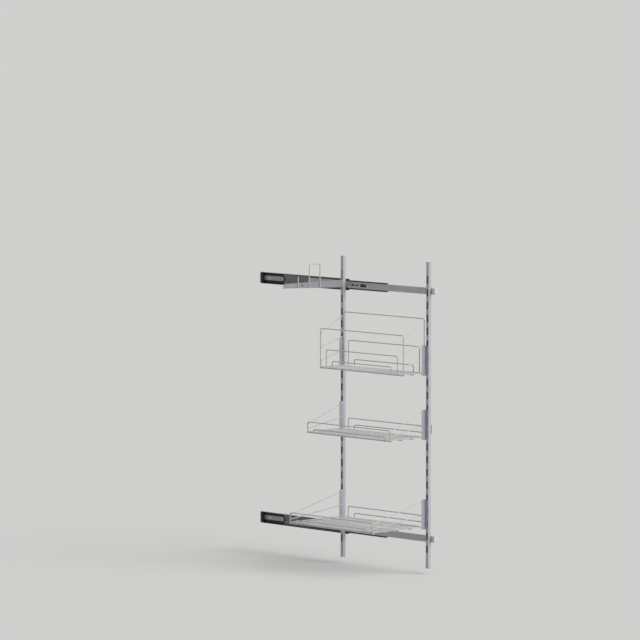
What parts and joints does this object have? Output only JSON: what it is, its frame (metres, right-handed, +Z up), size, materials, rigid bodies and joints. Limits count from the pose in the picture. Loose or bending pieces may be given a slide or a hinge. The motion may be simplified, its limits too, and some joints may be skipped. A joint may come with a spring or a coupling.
{
  "type": "pull-out cabinet rack",
  "caption": "Pull-out larder rack for a tall cabinet: ball-bearing slides on the side wall carry slotted posts with hook-on wire baskets and a hanging arm.",
  "frame": {"origin": "middle screw hole of the lower wall rail, on the rail's wall face", "axes": "+X out of the rack into the cabinet's side wall, +Y into the cabinet, the way the rack is pushed in, +Z up; at rest the rack is pulled fully out"},
  "size_m": [0.3508, 0.99, 1.195],
  "materials": {
    "slide_steel": "zinc-plated cold-rolled steel, satin",
    "cage_steel": "dark phosphated sheet with a film of grease",
    "ball_steel": "polished bearing balls",
    "fastener_steel": "zinc-plated screws, nuts and rivets",
    "stop_rubber": "black rubber",
    "lever_plastic": "black moulded plastic",
    "buffer_plastic": "light grey moulded plastic",
    "cap_plastic": "mid grey moulded plastic",
    "post_steel": "silver-grey powder coat",
    "bracket_steel": "silver-grey powder coat",
    "arm_steel": "silver-grey powder coat",
    "basket_wire": "bright nickel-plated steel wire"
  },
  "bodies": {
    "wall_rails": {"lower_wall_rail": "slide_steel", "lower_rear_stop": "stop_rubber", "upper_wall_rail": "slide_steel", "upper_rear_stop": "stop_rubber"},
    "carriage": {"lower_inner_rail": "slide_steel", "lower_lever_pin": "fastener_steel", "lower_front_buffer": "buffer_plastic", "lower_post_screws": "fastener_steel", "lower_post_nuts": "fastener_steel", "upper_inner_rail": "slide_steel", "upper_lever_pin": "fastener_steel", "upper_front_buffer": "buffer_plastic", "upper_post_screws": "fastener_steel", "upper_post_nuts": "fastener_steel", "rear_post": "post_steel", "front_post": "post_steel", "bottom_post_caps": "cap_plastic", "top_post_caps": "cap_plastic", "front_post_bumper": "stop_rubber"},
    "lower_middle_member": {"lower_middle_rail": "slide_steel"},
    "lower_outer_cage": {"lower_outer_ball_cage": "cage_steel", "lower_outer_balls": "ball_steel"},
    "lower_inner_cage": {"lower_inner_ball_cage": "cage_steel", "lower_inner_balls": "ball_steel"},
    "lower_lever": {"lower_release_lever": "lever_plastic"},
    "upper_middle_member": {"upper_middle_rail": "slide_steel"},
    "upper_outer_cage": {"upper_outer_ball_cage": "cage_steel", "upper_outer_balls": "ball_steel"},
    "upper_inner_cage": {"upper_inner_ball_cage": "cage_steel", "upper_inner_balls": "ball_steel"},
    "upper_lever": {"upper_release_lever": "lever_plastic"},
    "top_basket": {"top_basket_floor": "basket_wire", "top_basket_front_loops": "basket_wire", "top_basket_back_loops": "basket_wire", "top_basket_rear_side_wires": "basket_wire", "top_basket_front_side_wires": "basket_wire", "top_basket_rear_bracket": "bracket_steel", "top_basket_front_bracket": "bracket_steel"},
    "middle_basket": {"middle_basket_floor": "basket_wire", "middle_basket_front_loops": "basket_wire", "middle_basket_back_loops": "basket_wire", "middle_basket_rear_side_wires": "basket_wire", "middle_basket_front_side_wires": "basket_wire", "middle_basket_rear_bracket": "bracket_steel", "middle_basket_front_bracket": "bracket_steel"},
    "bottom_basket": {"bottom_basket_floor": "basket_wire", "bottom_basket_front_loops": "basket_wire", "bottom_basket_back_loops": "basket_wire", "bottom_basket_rear_side_wires": "basket_wire", "bottom_basket_front_side_wires": "basket_wire", "bottom_basket_rear_bracket": "bracket_steel", "bottom_basket_front_bracket": "bracket_steel"},
    "arm": {"hanging_arm": "arm_steel", "hanging_arm_loop": "basket_wire", "hanging_arm_peg": "basket_wire"}
  },
  "joints": [
    {"name": "pull_out", "type": "slide", "parent": "wall_rails", "child": "carriage", "axis": [0, 1, 0], "range_m": [0, 0.464]},
    {"name": "lower_middle_member_slide", "type": "slide", "parent": "wall_rails", "child": "lower_middle_member", "axis": [0, 1, 0], "range_m": [0, 0.232]},
    {"name": "lower_outer_cage_slide", "type": "slide", "parent": "wall_rails", "child": "lower_outer_cage", "axis": [0, 1, 0], "range_m": [0, 0.116]},
    {"name": "lower_inner_cage_slide", "type": "slide", "parent": "wall_rails", "child": "lower_inner_cage", "axis": [0, 1, 0], "range_m": [0, 0.348]},
    {"name": "lower_lever_swing", "type": "hinge", "parent": "carriage", "child": "lower_lever", "pos_m": [-0.0107, -0.3515, 0], "axis": [1, 0, 0], "range_deg": [-2.5, 2.5], "stiffness_Nm_per_rad": 0.2},
    {"name": "upper_middle_member_slide", "type": "slide", "parent": "wall_rails", "child": "upper_middle_member", "axis": [0, 1, 0], "range_m": [0, 0.232]},
    {"name": "upper_outer_cage_slide", "type": "slide", "parent": "wall_rails", "child": "upper_outer_cage", "axis": [0, 1, 0], "range_m": [0, 0.116]},
    {"name": "upper_inner_cage_slide", "type": "slide", "parent": "wall_rails", "child": "upper_inner_cage", "axis": [0, 1, 0], "range_m": [0, 0.348]},
    {"name": "upper_lever_swing", "type": "hinge", "parent": "carriage", "child": "upper_lever", "pos_m": [-0.0107, -0.3515, 0.967], "axis": [1, 0, 0], "range_deg": [-2.5, 2.5], "stiffness_Nm_per_rad": 0.2},
    {"name": "top_basket_lift", "type": "slide", "parent": "carriage", "child": "top_basket", "axis": [0, 0, 1], "range_m": [0, 0.01]},
    {"name": "middle_basket_lift", "type": "slide", "parent": "carriage", "child": "middle_basket", "axis": [0, 0, 1], "range_m": [0, 0.01]},
    {"name": "bottom_basket_lift", "type": "slide", "parent": "carriage", "child": "bottom_basket", "axis": [0, 0, 1], "range_m": [0, 0.01]},
    {"name": "arm_lift", "type": "slide", "parent": "carriage", "child": "arm", "axis": [0, 0, 1], "range_m": [0, 0.01]}
  ],
  "couplings": [
    {"joint": "lower_middle_member_slide", "follows": "pull_out", "ratio": 0.5},
    {"joint": "lower_outer_cage_slide", "follows": "pull_out", "ratio": 0.25},
    {"joint": "lower_inner_cage_slide", "follows": "pull_out", "ratio": 0.75},
    {"joint": "upper_middle_member_slide", "follows": "pull_out", "ratio": 0.5},
    {"joint": "upper_outer_cage_slide", "follows": "pull_out", "ratio": 0.25},
    {"joint": "upper_inner_cage_slide", "follows": "pull_out", "ratio": 0.75}
  ]
}
